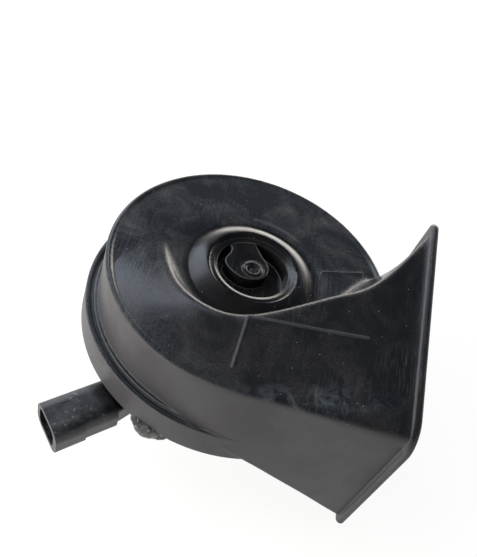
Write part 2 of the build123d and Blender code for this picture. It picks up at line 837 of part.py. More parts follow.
def tube(low, high, width, height, corner, y=0):
    """A rounded rectangle bar along the connector between two distances."""
    outline = Plane.YZ * RectangleRounded(width, height, corner)
    return Pos(low, y, connector_z) * extrude(outline, high - low)


def turn_socket(shape):
    """Move a shape built from the bend outwards along +X to the socket's own direction."""
    return Pos(connector_bend, 0, 0) * Rot(0, 0, connector_turn) * shape


def blade(side):
    """One blade: a straight tag through the spigot and neck, and the bent blade in the socket."""
    y = side * blade_pitch / 2
    half = blade_width / 2
    low_z = spigot_z - blade_drop - blade_thickness / 2
    high_z = low_z + blade_thickness
    low = shoulder_radius - pan_wall - spigot_inside - blade_inside
    tag = block((low, y - half, low_z), (connector_bend, y + half, high_z))
    tip = block((0, y - half, low_z), (socket_length - blade_recess, y + half, high_z))
    knee = cylinder(half, low_z, high_z, connector_bend, y)
    return tag + knee + turn_socket(tip)


def connector_housing():
    """Socket, neck and riveted flange in one dark grey moulding."""
    height = connector_height
    socket = tube(0, socket_length, connector_width, height, connector_corner)
    step_width = connector_width + socket_step_width
    step_start = socket_length - socket_step
    step = tube(step_start, socket_length, step_width, height, connector_corner, socket_step_width / 2)
    cavity_width = connector_width - 2 * connector_wall
    cavity_height = height - 2 * connector_wall
    cavity_corner = connector_corner - connector_wall
    start = socket_length - connector_cavity
    socket += step
    socket -= tube(start, socket_length, cavity_width, cavity_height, cavity_corner)
    body = turn_socket(socket)
    inner = shoulder_radius + gasket_gap
    body += tube(inner + 0.5, connector_bend + 2, neck_width, neck_height, 2)
    flange = ring(flange_out, inner, flange_low_z, flange_low_z + flange_height)
    body += flange & block((0, -flange_width / 2, 0), (flange_out, flange_width / 2, face_z))
    body += spigot_block(0)
    for side in (-1, 1):
        body -= blade(side)
        body -= rivet_bar(side, connector_rivet_radius, 0, flange_out)
        body -= rivet_bar(side, connector_rivet_head, flange_out - spot_face, flange_out)
    return at_connector(body)


def connector_gasket():
    """Rubber sheet between the connector flange and the pan wall."""
    sheet = ring(shoulder_radius + gasket_gap, shoulder_radius, flange_low_z, flange_low_z + flange_height)
    sheet &= block((0, -flange_width / 2, 0), (flange_out, flange_width / 2, face_z))
    sheet -= spigot_block(hole_clearance)
    for side in (-1, 1):
        sheet -= rivet_bar(side, connector_rivet_radius, 0, flange_out)
    return at_connector(sheet)


def connector_rivets():
    """The two rivets through the connector flange and the pan wall."""
    inner = shoulder_radius - pan_wall - 2
    seat = flange_out - spot_face
    rivets = Part()
    for side in (-1, 1):
        rivets += rivet_bar(side, connector_rivet_radius, inner, seat)
        rivets += rivet_bar(side, connector_rivet_head, seat, seat + connector_rivet_dome)
    return at_connector(rivets)


save(connector_housing(), "connector_housing")
save(connector_gasket(), "connector_gasket")
save(at_connector(blade(1)), "live_terminal")
save(at_connector(blade(-1)), "ground_terminal")
save(connector_rivets(), "connector_rivets")

# ---------------------------------------------------------------- sealing compound


def sealing_compound():
    """Bead of compound from the folded rim down past the skirt, thicker in lumps."""
    flange_z = lower_gasket_z - pan_wall
    back_radius = skirt_inner_radius - compound_width
    low_z = skirt_bottom_z - compound_drop
    profile = [
        (back_radius, flange_z),
        (back_radius, skirt_bottom_z - compound_drop * 0.2),
        (back_radius + compound_width * 0.4, low_z + compound_drop * 0.15),
        (skirt_inner_radius - compound_width * 0.2, low_z + compound_drop * 0.1),
        (skirt_inner_radius + skirt_wall * 0.4, skirt_bottom_z - compound_drop * 0.6),
        (skirt_inner_radius + skirt_wall * 0.6, skirt_bottom_z),
        (skirt_inner_radius, skirt_bottom_z),
        (rim_outer_radius - draw_radius * 0.5, flange_z),
    ]
    outline = Polyline(*[Vector(r, 0, z) for r, z in profile], close=True)
    bead = revolve(make_face(outline), Axis.Z, compound_end - compound_start)
    bead = Rot(0, 0, compound_start) * bead
    for share, size, drop in compound_lumps:
        angle = compound_start + (compound_end - compound_start) * share
        spot = plan(skirt_inner_radius, angle)
        bead += Pos(*spot, skirt_bottom_z - compound_drop * drop) * Sphere(compound_drop * size)
    return bead


save(sealing_compound(), "sealing_compound")
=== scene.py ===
import math

import bmesh
import bpy
from mathutils import Matrix, Vector, noise


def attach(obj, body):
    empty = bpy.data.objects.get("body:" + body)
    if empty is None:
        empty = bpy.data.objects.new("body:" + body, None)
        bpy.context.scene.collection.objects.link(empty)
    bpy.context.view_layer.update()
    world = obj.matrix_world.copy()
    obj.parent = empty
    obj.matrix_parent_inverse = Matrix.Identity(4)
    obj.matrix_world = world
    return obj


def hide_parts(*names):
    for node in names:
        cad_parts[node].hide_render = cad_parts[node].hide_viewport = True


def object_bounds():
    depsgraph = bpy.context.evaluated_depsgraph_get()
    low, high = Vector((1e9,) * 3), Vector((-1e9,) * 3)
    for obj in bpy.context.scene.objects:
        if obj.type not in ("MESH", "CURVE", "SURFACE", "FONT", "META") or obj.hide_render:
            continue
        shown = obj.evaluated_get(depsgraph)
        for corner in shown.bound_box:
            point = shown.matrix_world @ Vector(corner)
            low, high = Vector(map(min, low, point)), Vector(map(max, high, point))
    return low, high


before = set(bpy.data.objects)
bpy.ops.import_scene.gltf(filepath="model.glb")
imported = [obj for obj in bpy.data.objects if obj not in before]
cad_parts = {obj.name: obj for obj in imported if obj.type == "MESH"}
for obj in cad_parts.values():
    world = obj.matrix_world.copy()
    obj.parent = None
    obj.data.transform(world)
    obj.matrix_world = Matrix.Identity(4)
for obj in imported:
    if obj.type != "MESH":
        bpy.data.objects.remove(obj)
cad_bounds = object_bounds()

# ---------------------------------------------------------------- camera
# The camera is held in front of the horn and a little to its left, and looks down on the face. It is
# rolled to the right, so the axis of the disc leans to the left in its view.

MM = 0.001
camera_place = Vector((-16.774, -119.353, 166.580)) * MM
camera_right = Vector((0.953964, 0.154080, 0.257316))
camera_up = Vector((-0.288701, 0.704219, 0.648635))
focal_pixels = 600        # for a view 557 pixels high
view_height = 557
sensor = 36.0

camera_data = bpy.data.cameras.new("camera")
camera_data.sensor_width = sensor
camera_data.lens = focal_pixels / view_height * sensor
camera_data.clip_start = 5 * MM
camera = bpy.data.objects.new("camera", camera_data)
camera_back = camera_right.cross(camera_up)
turn = Matrix((camera_right, camera_up, camera_back)).transposed().to_4x4()
camera.matrix_world = Matrix.Translation(camera_place) @ turn
bpy.context.scene.collection.objects.link(camera)
bpy.context.scene.camera = camera
bpy.context.scene.view_settings.view_transform = "Standard"

# ---------------------------------------------------------------- floor and light
# A large sheet of matt white card lies under the horn. A wide soft lamp hangs over it. Two more stand
# behind it and draw the light lines along the rounded edges, and one stands low and near at its left,
# so that the walls darken towards the mouth.


def linear(code):
    """An sRGB hex colour as linear RGBA."""
    parts = [int(code[i:i + 2], 16) / 255 for i in (1, 3, 5)]
    return [c / 12.92 if c <= 0.04045 else ((c + 0.055) / 1.055) ** 2.4 for c in parts] + [1.0]


def add(tree, kind, links=None, values=None, **settings):
    """Add a node with its settings, the values of its inputs and the links into it."""
    made = tree.nodes.new(kind)
    for name, value in settings.items():
        setattr(made, name, value)
    for name, value in (values or {}).items():
        made.inputs[name].default_value = value
    for name, source in (links or {}).items():
        tree.links.new(source, made.inputs[name])
    return made


def new_material(name):
    """A material with an empty node tree."""
    made = bpy.data.materials.new(name)
    made.use_nodes = True
    made.node_tree.nodes.clear()
    return made


card_white = linear("#f2f2f2")
card_glow = 0.85          # share of the card that is plain white to the eye, so its shadow stays faint
floor_half = 1.5
floor_z = cad_bounds[0].z

matt_white_card = new_material("matt_white_card")
tree = matt_white_card.node_tree
rays = add(tree, "ShaderNodeLightPath")
shiny = add(tree, "ShaderNodeMath",
            {0: rays.outputs["Is Glossy Ray"], 1: rays.outputs["Is Transmission Ray"]}, operation="MAXIMUM")
seen = add(tree, "ShaderNodeMath", {0: rays.outputs["Is Camera Ray"], 1: shiny.outputs[0]},
           operation="MAXIMUM")
share = add(tree, "ShaderNodeMath", {0: seen.outputs[0]}, {1: card_glow}, operation="MULTIPLY")
paper = add(tree, "ShaderNodeBsdfDiffuse", values={"Color": card_white})
glow = add(tree, "ShaderNodeEmission", values={"Color": (1, 1, 1, 1), "Strength": 1.0})
both = add(tree, "ShaderNodeMixShader", {0: share.outputs[0], 1: paper.outputs[0], 2: glow.outputs[0]})
add(tree, "ShaderNodeOutputMaterial", {"Surface": both.outputs[0]})

floor_mesh = bpy.data.meshes.new("floor")
floor_corners = [(-floor_half, -floor_half), (floor_half, -floor_half), (floor_half, floor_half),
                 (-floor_half, floor_half)]
floor_mesh.from_pydata([(x, y, floor_z) for x, y in floor_corners], [], [(0, 1, 2, 3)])
floor_mesh.materials.append(matt_white_card)
floor = bpy.data.objects.new("floor", floor_mesh)
bpy.context.scene.collection.objects.link(floor)

# The room is white where the camera looks past the floor. Metal and plastic mirror its white walls,
# which end under a dim ceiling, and everything matt gets an even grey light from it.
ceiling_grey = linear("#3a4048")
room_grey = linear("#6a6a6a")
wall_top = 0.42           # sine of the height at which the white walls end
wall_fade = 0.12

world = bpy.data.worlds.new("studio")
world.use_nodes = True
bpy.context.scene.world = world
tree = world.node_tree
tree.nodes.clear()
rays = add(tree, "ShaderNodeLightPath")
place = add(tree, "ShaderNodeTexCoord")
split = add(tree, "ShaderNodeSeparateXYZ", {0: place.outputs["Generated"]})
above = add(tree, "ShaderNodeMapRange", {"Value": split.outputs["Z"]},
            {"From Min": wall_top - wall_fade, "From Max": wall_top + wall_fade})
mirrored = add(tree, "ShaderNodeMix", {"Factor": above.outputs[0]}, {6: (1, 1, 1, 1), 7: ceiling_grey},
               data_type="RGBA")
shiny = add(tree, "ShaderNodeMath",
            {0: rays.outputs["Is Glossy Ray"], 1: rays.outputs["Is Transmission Ray"]}, operation="MAXIMUM")
indoors = add(tree, "ShaderNodeMix", {"Factor": shiny.outputs[0], 7: mirrored.outputs[2]}, {6: room_grey},
              data_type="RGBA")
shown = add(tree, "ShaderNodeMix", {"Factor": rays.outputs["Is Camera Ray"], 6: indoors.outputs[2]},
            {7: (1, 1, 1, 1)}, data_type="RGBA")
sky = add(tree, "ShaderNodeBackground", {"Color": shown.outputs[2]}, {"Strength": 1.0})
add(tree, "ShaderNodeOutputWorld", {"Surface": sky.outputs[0]})

# name, place, width and height in metres, watts, colour, and whether shiny surfaces mirror it
lamp_aim = Vector((0, 0, 0.03))
lamps = [
    ("lamp_above", (-0.25, 0.05, 0.80), 0.7, 0.7, 5.5, "#ffffff", False),
    ("lamp_back", (0.25, 0.95, 0.20), 1.4, 0.42, 11.0, "#fff9f2", True),
    ("lamp_back_left", (-0.46, 0.62, 0.62), 0.36, 0.66, 3.4, "#e6eeff", True),
    ("lamp_left", (-0.37, -0.12, 0.17), 0.30, 0.20, 3.9, "#fff8f0", False),
]
for name, spot, width, height, power, colour, mirror in lamps:
    lamp_data = bpy.data.lights.new(name, "AREA")
    lamp_data.shape = "RECTANGLE"
    lamp_data.size = width
    lamp_data.size_y = height
    lamp_data.energy = power
    lamp_data.color = linear(colour)[:3]
    lamp = bpy.data.objects.new(name, lamp_data)
    lamp.location = spot
    lamp.rotation_euler = (lamp_aim - Vector(spot)).to_track_quat("-Z", "Y").to_euler()
    lamp.visible_camera = False
    lamp.visible_glossy = mirror
    bpy.context.scene.collection.objects.link(lamp)

# ---------------------------------------------------------------- driver housing
# A pan of 1 mm mild steel, deep drawn in two steps, its rim folded over the base plate. It is zinc
# plated and passivated, which leaves a dull silver with a cold cast, drawn streaks and soft blotches.


def dress(material, *names):
    """Give CAD nodes a material in the slots of their objects."""
    for name in names:
        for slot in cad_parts[name].material_slots:
            slot.material = material


def grained(name, dark, light, grain, roughness, metallic=0.0, relief=0.15, stretch=(1, 1, 1)):
    """A material whose colour, gloss and relief follow one grain, its size given in millimetres."""
    made = new_material(name)
    tree = made.node_tree
    place = add(tree, "ShaderNodeTexCoord")
    drawn = add(tree, "ShaderNodeMapping", {"Vector": place.outputs["Object"]}, {"Scale": stretch})
    field = add(tree, "ShaderNodeTexNoise", {"Vector": drawn.outputs[0]},
                {"Scale": 1 / (grain * MM), "Detail": 4.0, "Roughness": 0.6})
    tint = add(tree, "ShaderNodeMix", {"Factor": field.outputs[0]}, {6: linear(dark), 7: linear(light)},
               data_type="RGBA")
    haze = add(tree, "ShaderNodeMapRange", {"Value": field.outputs[0]},
               {"From Min": 0.3, "From Max": 0.7, "To Min": roughness - 0.07, "To Max": roughness + 0.07})
    bump = add(tree, "ShaderNodeBump", {"Height": field.outputs[0]},
               {"Strength": relief, "Distance": grain * MM / 2})
    shader = add(tree, "ShaderNodeBsdfPrincipled",
                 {"Base Color": tint.outputs[2], "Roughness": haze.outputs[0], "Normal": bump.outputs[0]},
                 {"Metallic": metallic})
    add(tree, "ShaderNodeOutputMaterial", {"Surface": shader.outputs[0]})
    return made


# drawing lines stand along Z and are about 0.4 mm apart
drawn_zinc_steel = grained("drawn_zinc_plated_steel", "#7f8489", "#a6aaad",
                           grain=0.4, roughness=0.36, metallic=1.0, relief=0.12, stretch=(1, 1, 0.12))
dress(drawn_zinc_steel, "driver_housing")

# ---------------------------------------------------------------- pole core, nut and washer
# The core is turned from soft iron in one piece with the M8 stud, and a thin hexagon nut pulls it
# against the pan over a plain washer. All are zinc plated, brighter than the pan, with turning rings.

tool_feed = 0.25 * MM
ring_pitch = 2 * math.pi * tool_feed    # drawn six times as coarse as the feed, so that the rings show
wave_turn = 20            # radians that a wave pattern turns through in one unit at scale 1
blotch_size = 3 * MM      # patches of the plating
plating_dull = "#a7a9a8"
plating_bright = "#cfd0cb"

turned_zinc_steel = new_material("turned_zinc_plated_steel")
tree = turned_zinc_steel.node_tree
place = add(tree, "ShaderNodeTexCoord")
rings = add(tree, "ShaderNodeTexWave", {"Vector": place.outputs["Object"]},
            {"Scale": 2 * math.pi / ring_pitch / wave_turn, "Distortion": 0.6, "Detail": 2.0},
            wave_type="RINGS", rings_direction="Z")
blotch = add(tree, "ShaderNodeTexNoise", {"Vector": place.outputs["Object"]},
             {"Scale": 1 / blotch_size, "Detail": 3.0})
tint = add(tree, "ShaderNodeMix", {"Factor": blotch.outputs[0]},
           {6: linear(plating_dull), 7: linear(plating_bright)}, data_type="RGBA")
haze = add(tree, "ShaderNodeMapRange", {"Value": blotch.outputs[0]}, {"To Min": 0.2, "To Max": 0.42})
bump = add(tree, "ShaderNodeBump", {"Height": rings.outputs[1]}, {"Strength": 0.15, "Distance": 0.05 * MM})
shader = add(tree, "ShaderNodeBsdfPrincipled",
             {"Base Color": tint.outputs[2], "Roughness": haze.outputs[0], "Normal": bump.outputs[0]},
             {"Metallic": 1.0})
add(tree, "ShaderNodeOutputMaterial", {"Surface": shader.outputs[0]})
dress(turned_zinc_steel, "core_nut", "core_washer")

# The stud's thread is rolled: the same plating, with painted shade darkening each flank towards its root at
# the pitch of M8.
thread_pitch = 1.25 * MM
thread_depth = 0.6 * MM
painted_root_shade = "#5f6162"
thread_crest = "#d6d7d2"
rolled_thread_steel = new_material("rolled_thread_zinc_plated_steel")
tree = rolled_thread_steel.node_tree
place = add(tree, "ShaderNodeTexCoord")
split = add(tree, "ShaderNodeSeparateXYZ", {0: place.outputs["Object"]})
around = add(tree, "ShaderNodeMath", {0: split.outputs["Y"], 1: split.outputs["X"]}, operation="ARCTAN2")
lead = add(tree, "ShaderNodeMath", {0: around.outputs[0]}, {1: 2 * math.pi}, operation="DIVIDE")
turns = add(tree, "ShaderNodeMath", {0: split.outputs["Z"]}, {1: 1 / thread_pitch}, operation="MULTIPLY")
helix = add(tree, "ShaderNodeMath", {0: turns.outputs[0], 1: lead.outputs[0]}, operation="ADD")
flank = add(tree, "ShaderNodeMath", {0: helix.outputs[0]}, {1: 0.5}, operation="PINGPONG")
# painted shade in the roots of the thread, the plating's own colour on the crests
tint = add(tree, "ShaderNodeMix", {"Factor": flank.outputs[0]},
           {6: linear(painted_root_shade), 7: linear(thread_crest)}, data_type="RGBA")
bump = add(tree, "ShaderNodeBump", {"Height": flank.outputs[0]}, {"Strength": 1.0, "Distance": thread_depth})
shader = add(tree, "ShaderNodeBsdfPrincipled", {"Base Color": tint.outputs[2], "Normal": bump.outputs[0]},
             {"Metallic": 1.0, "Roughness": 0.32})
add(tree, "ShaderNodeOutputMaterial", {"Surface": shader.outputs[0]})
dress(rolled_thread_steel, "pole_core")

# ---------------------------------------------------------------- coil
# A spool of uncoloured nylon, moulded, slips over the core and carries the winding of enamelled
# copper wire. Nylon is creamy and slightly waxy; the enamel makes the copper a deep glossy amber.

moulded_natural_nylon = grained("moulded_natural_nylon", "#d8d2bf", "#e9e4d4",
                                grain=1.5, roughness=0.45)
dress(moulded_natural_nylon, "coil_bobbin")

wire_pitch = 0.5 * MM     # one turn of the winding lies beside the next
copper_shade = "#4a1c0a"
copper_highlight = "#c2602a"
enamelled_copper_wire = new_material("wound_enamelled_copper_wire")
tree = enamelled_copper_wire.node_tree
place = add(tree, "ShaderNodeTexCoord")
split = add(tree, "ShaderNodeSeparateXYZ", {0: place.outputs["Object"]})
turns = add(tree, "ShaderNodeMath", {0: split.outputs["Z"]}, {1: 1 / wire_pitch}, operation="MULTIPLY")
wire = add(tree, "ShaderNodeMath", {0: turns.outputs[0]}, {1: 0.5}, operation="PINGPONG")
# painted shade where two turns meet, and a painted highlight along the top of each turn
tint = add(tree, "ShaderNodeMix", {"Factor": wire.outputs[0]},
           {6: linear(copper_shade), 7: linear(copper_highlight)}, data_type="RGBA")
bump = add(tree, "ShaderNodeBump", {"Height": wire.outputs[0]}, {"Strength": 1.0, "Distance": wire_pitch / 2})
shader = add(tree, "ShaderNodeBsdfPrincipled", {"Base Color": tint.outputs[2], "Normal": bump.outputs[0]},
             {"Metallic": 0.85, "Roughness": 0.3, "Coat Weight": 0.6, "Coat Roughness": 0.1})
add(tree, "ShaderNodeOutputMaterial", {"Surface": shader.outputs[0]})
dress(enamelled_copper_wire, "coil_winding")

# ---------------------------------------------------------------- diaphragm and armature
# The diaphragm is a thin disc of blued spring steel between two gaskets of compressed paper. The
# soft iron armature is riveted to its middle over a washer; oil keeps the bare iron dark and smooth.

blued_spring_steel = grained("rolled_blued_spring_steel", "#3c4658", "#5b6473",
                             grain=0.6, roughness=0.3, metallic=1.0, relief=0.1, stretch=(1, 0.15, 1))
oiled_soft_iron = grained("turned_oiled_soft_iron", "#55524e", "#77736c",
                          grain=1.2, roughness=0.38, metallic=1.0)
pressed_gasket_paper = grained("pressed_gasket_paper", "#7a6a4c", "#a08d66",
                               grain=0.5, roughness=0.85, relief=0.5)
dress(blued_spring_steel, "diaphragm")
dress(oiled_soft_iron, "armature", "armature_washer")
dress(pressed_gasket_paper, "upper_gasket", "lower_gasket")

# ---------------------------------------------------------------- contact breaker
# Paper-filled phenolic blocks clamp the bronze spring arm and the rolled brass strip, held by two
# rivets. The contacts are silver, grey with sulphide, and the spark resistor is a coated ceramic rod.

sawn_phenolic_paper = grained("sawn_phenolic_paper", "#5a3a22", "#7a5232",
                              grain=0.35, roughness=0.6, relief=0.3, stretch=(1, 1, 0.2))
rolled_brass = grained("rolled_brass", "#b08a3e", "#d2ad5c",
                       grain=0.5, roughness=0.3, metallic=1.0, relief=0.1, stretch=(0.15, 1, 1))
spring_bronze = grained("rolled_spring_bronze", "#a8713f", "#c58d57",
                        grain=0.5, roughness=0.28, metallic=1.0, relief=0.1, stretch=(0.15, 1, 1))
tarnished_silver = grained("pressed_tarnished_silver", "#8d8a84", "#c9c6bf",
                           grain=0.4, roughness=0.35, metallic=1.0)
coated_ceramic = grained("coated_ceramic_rod", "#58706a", "#6f8a82", grain=0.8, roughness=0.5)
dress(sawn_phenolic_paper, "contact_base", "contact_spacer")
dress(rolled_brass, "fixed_contact_strip", "contact_rivets")
dress(spring_bronze, "contact_arm")
dress(tarnished_silver, "fixed_contact", "moving_contact")
dress(coated_ceramic, "arc_resistor")

# ---------------------------------------------------------------- adjusting screw
# A headless screw of zinc plated steel sets the breaker from the back of the pan. After the tone is
# set it is locked with a drop of red lacquer, which dries with a skin and a soft shine.

red_sealing_lacquer = grained("dried_red_sealing_lacquer", "#6e1512", "#9a241c",
                              grain=0.9, roughness=0.3, relief=0.6)
dress(turned_zinc_steel, "adjusting_screw")
dress(red_sealing_lacquer, "adjusting_screw_seal")

# ---------------------------------------------------------------- base plate
# The floor of the coiled duct is a separate black moulding, glass filled and matt as it comes from
# an eroded tool, with a fine even grain of 0.4 mm.

matt_black_pbt = grained("eroded_black_pbt", "#121213", "#1d1d1e",
                         grain=0.4, roughness=0.6, relief=0.35)
dress(matt_black_pbt, "base_plate")

# ---------------------------------------------------------------- trumpet cover
# One moulding in black polybutylene terephthalate: face, coil, flared mouth and skirt. The tool is
# polished for the top and only eroded for the walls, so the top is glossy and nearly black and the
# walls are a satin grey. Years beside the radiator have left scuffs, fine scratches and dust on it.

top_black = "#0a0b0d"
film_grey = "#3d434a"     # thin film of road dirt, most of it on the flat of the face
wall_grey = "#353537"
worn_and_highlight_grey = "#777c82"     # bare scratched plastic and dust, and the painted highlight on ribs and edges
stain_brown = "#2a2119"

# distances from the disc axis, and the height of the face rim
well_edge = (10.2 * MM, 12.9 * MM)      # rounded edge of the well, which leans inwards
dome_side = (13.1 * MM, 18.3 * MM)      # outer slope of the dome round it
dome_foot = (18.5 * MM, 20.0 * MM)      # where the dome has run out into the coil
wall_start = (34 * MM, 37 * MM)         # nothing nearer the axis is an eroded wall
crest_reach = (35.5 * MM, 37.0 * MM)    # the crest keeps inside this, up to where it leaves the face
rim_level = 49 * MM                     # the crest of the coil stands above it
crest_stand = (0.8 * MM, 1.4 * MM)      # how far above it the crest starts
film_stand = (-0.2 * MM, 1.6 * MM)      # the film thins out between these

wall_upright = (0.62, 0.22)             # upward part of the surface's direction, on the top and on a wall
edge_slope = 0.42                       # steepest lean of the well's edge
side_slope = 0.30                       # and of the dome's side
swell_bluntness = 0.4                   # below 1 the lean is nearly the same all across
swell_fade = (0.4 * MM, 0.8 * MM)       # the swells blend into the surface inside and outside
crest_rounding = 3.0 * MM
edge_rounding = 0.7 * MM                # every other edge of the moulding
edge_highlight_share = 0.28                        # how far an edge is painted towards the pale grey as a highlight

smudge_size = 13 * MM
scratch_pitch = 0.32 * MM
scratch_patch = 20 * MM
film_grain = 0.5 * MM
dust_pitch = 1.5 * MM                   # real dust is finer, drawn as coarse as it needs to show
eroded_grain = 0.3 * MM
grain_depth = 0.1 * MM
scuff_place = (19 * MM, -39.5 * MM, 0)  # middle of a scuffed strip on the duct, beside its front edge
scuff_turn = 0.21                       # radians from the X axis
scuff_reach = (24 * MM, 4.5 * MM)       # half its length and half its width
smear_size = 5 * MM
film_least = 0.4                        # of the film where nothing is smudged
stain_share = 0.2
scratch_share = 0.1
scratch_depth = 0.25                    # of the depth of the eroded grain

top_roughness = 0.18
wall_roughness = 0.43
top_specular = 0.36                     # under the usual 0.5, because of the film and the dust
wall_specular = 0.30

polished_black_pbt = new_material("moulded_black_pbt")
tree = polished_black_pbt.node_tree
place = add(tree, "ShaderNodeTexCoord")
facing = add(tree, "ShaderNodeSeparateXYZ", {0: place.outputs["Normal"]})
spot = add(tree, "ShaderNodeSeparateXYZ", {0: place.outputs["Object"]})
flat = add(tree, "ShaderNodeVectorMath", {0: place.outputs["Object"]}, {1: (1, 1, 0)}, operation="MULTIPLY")
radius = add(tree, "ShaderNodeVectorMath", {0: flat.outputs[0]}, operation="LENGTH")

# 0 on the polished top, 1 on the eroded walls
upright = add(tree, "ShaderNodeMapRange", {"Value": facing.outputs["Z"]},
              {"From Min": wall_upright[0], "From Max": wall_upright[1]}, interpolation_type="SMOOTHSTEP")
outside = add(tree, "ShaderNodeMapRange", {"Value": radius.outputs["Value"]},
              {"From Min": wall_start[0], "From Max": wall_start[1]})
on_wall = add(tree, "ShaderNodeMath", {0: upright.outputs[0], 1: outside.outputs[0]}, operation="MULTIPLY")

# smudges: broad soft patches that dull the gloss
smudge = add(tree, "ShaderNodeTexNoise", {"Vector": place.outputs["Object"]},
             {"Scale": 1 / smudge_size, "Detail": 7.0, "Roughness": 0.68, "Distortion": 0.8})
smudged = add(tree, "ShaderNodeMapRange", {"Value": smudge.outputs[0]}, {"From Min": 0.44, "From Max": 0.68})

# scratches: two sets of fine lines from wiping, gathered in patches
along = add(tree, "ShaderNodeMapping", {"Vector": place.outputs["Object"]},
            {"Rotation": (0, 0, -0.1), "Scale": (1, 0.03, 0.3)})
wiped = add(tree, "ShaderNodeTexNoise", {"Vector": along.outputs[0]},
            {"Scale": 1 / scratch_pitch, "Detail": 3.0, "Roughness": 0.6})
wiped = add(tree, "ShaderNodeMapRange", {"Value": wiped.outputs[0]}, {"From Min": 0.48, "From Max": 0.75})
across = add(tree, "ShaderNodeMapping", {"Vector": place.outputs["Object"]},
             {"Rotation": (0, 0, -0.9), "Scale": (1, 0.05, 0.3)})
rubbed = add(tree, "ShaderNodeTexNoise", {"Vector": across.outputs[0]},
             {"Scale": 0.7 / scratch_pitch, "Detail": 2.0, "Roughness": 0.5})
rubbed = add(tree, "ShaderNodeMapRange", {"Value": rubbed.outputs[0]}, {"From Min": 0.6, "From Max": 0.78})
lines = add(tree, "ShaderNodeMath", {0: wiped.outputs[0], 1: rubbed.outputs[0]}, operation="MAXIMUM")
patch = add(tree, "ShaderNodeTexNoise", {"Vector": place.outputs["Object"]},
            {"Scale": 1 / scratch_patch, "Detail": 3.0})
patch = add(tree, "ShaderNodeMapRange", {"Value": patch.outputs[0]}, {"From Min": 0.42, "From Max": 0.66})
scratched = add(tree, "ShaderNodeMath", {0: lines.outputs[0], 1: patch.outputs[0]}, operation="MULTIPLY")

# dust: sparse specks
specks = add(tree, "ShaderNodeTexVoronoi", {"Vector": place.outputs["Object"]}, {"Scale": 1 / dust_pitch})
speck = add(tree, "ShaderNodeMapRange", {"Value": specks.outputs["Distance"]},
            {"From Min": 0.1, "From Max": 0.02})
chosen = add(tree, "ShaderNodeSeparateColor", {0: specks.outputs["Color"]})
chosen = add(tree, "ShaderNodeMath", {0: chosen.outputs[0]}, {1: 0.9}, operation="GREATER_THAN")
dusty = add(tree, "ShaderNodeMath", {0: speck.outputs[0], 1: chosen.outputs[0]}, operation="MULTIPLY")

# the fine pebbled grain that spark erosion leaves on the walls
grain = add(tree, "ShaderNodeTexNoise", {"Vector": place.outputs["Object"]},
            {"Scale": 1 / eroded_grain, "Detail": 2.0})

# the crest of the coil is a broad soft ridge: a wide bevel outside the dome and inside the rim
out_of_dome = add(tree, "ShaderNodeMapRange", {"Value": radius.outputs["Value"]},
                  {"From Min": dome_foot[0], "From Max": dome_foot[1]})
in_rim = add(tree, "ShaderNodeMapRange", {"Value": radius.outputs["Value"]},
             {"From Min": crest_reach[1], "From Max": crest_reach[0]})
above_rim = add(tree, "ShaderNodeMapRange", {"Value": spot.outputs["Z"]},
                {"From Min": rim_level + crest_stand[0], "From Max": rim_level + crest_stand[1]})
near_crest = add(tree, "ShaderNodeMath", {0: in_rim.outputs[0], 1: above_rim.outputs[0]}, operation="MAXIMUM")
near_crest = add(tree, "ShaderNodeMath", {0: near_crest.outputs[0], 1: out_of_dome.outputs[0]},
                 operation="MULTIPLY")
softened = add(tree, "ShaderNodeBevel", values={"Radius": crest_rounding}, samples=12)
moulded = add(tree, "ShaderNodeBevel", values={"Radius": edge_rounding}, samples=6)
blended = add(tree, "ShaderNodeMix", {"Factor": near_crest.outputs[0], 4: moulded.outputs[0],
                                      5: softened.outputs[0]}, data_type="VECTOR")

# painted highlight: ribs and edges are coloured paler than the faces between them, where the rounded
# direction differs
surface = add(tree, "ShaderNodeNewGeometry")
turned = add(tree, "ShaderNodeVectorMath", {0: surface.outputs["Normal"], 1: moulded.outputs[0]},
             operation="DOT_PRODUCT")
painted_edge_highlight = add(tree, "ShaderNodeMapRange", {"Value": turned.outputs["Value"]},
                  {"From Min": 0.99, "From Max": 0.85, "To Max": edge_highlight_share})

# the well's edge and the dome round it are soft swells: each leans by a sine between its two feet
lean = None
for feet, slope in ((well_edge, edge_slope), (dome_side, -side_slope)):
    phase = add(tree, "ShaderNodeMapRange", {"Value": radius.outputs["Value"]},
                {"From Min": feet[0], "From Max": feet[1], "To Max": math.pi})
    swell = add(tree, "ShaderNodeMath", {0: phase.outputs[0]}, operation="SINE")
    swell = add(tree, "ShaderNodeMath", {0: swell.outputs[0]}, {1: swell_bluntness}, operation="POWER")
    swell = add(tree, "ShaderNodeMath", {0: swell.outputs[0]}, {1: -slope}, operation="MULTIPLY")
    if lean:
        swell = add(tree, "ShaderNodeMath", {0: swell.outputs[0], 1: lean.outputs[0]}, operation="ADD")
    lean = swell
outward = add(tree, "ShaderNodeVectorMath", {0: flat.outputs[0]}, operation="NORMALIZE")
leaning = add(tree, "ShaderNodeVectorMath", {0: outward.outputs[0], "Scale": lean.outputs[0]},
              operation="SCALE")
leaning = add(tree, "ShaderNodeVectorMath", {0: leaning.outputs[0]}, {1: (0, 0, 1)}, operation="ADD")
swell = add(tree, "ShaderNodeVectorMath", {0: leaning.outputs[0]}, operation="NORMALIZE")
from_inside = add(tree, "ShaderNodeMapRange", {"Value": radius.outputs["Value"]},
                  {"From Min": well_edge[0], "From Max": well_edge[0] + swell_fade[0]})
to_outside = add(tree, "ShaderNodeMapRange", {"Value": radius.outputs["Value"]},
                 {"From Min": dome_side[1] + swell_fade[1], "From Max": dome_side[1] - swell_fade[1]})
on_dome = add(tree, "ShaderNodeMath", {0: from_inside.outputs[0], 1: to_outside.outputs[0]},
              operation="MULTIPLY")
upward = add(tree, "ShaderNodeMapRange", {"Value": facing.outputs["Z"]}, {"From Min": 0.45, "From Max": 0.7})
on_dome = add(tree, "ShaderNodeMath", {0: on_dome.outputs[0], 1: upward.outputs[0]}, operation="MULTIPLY")
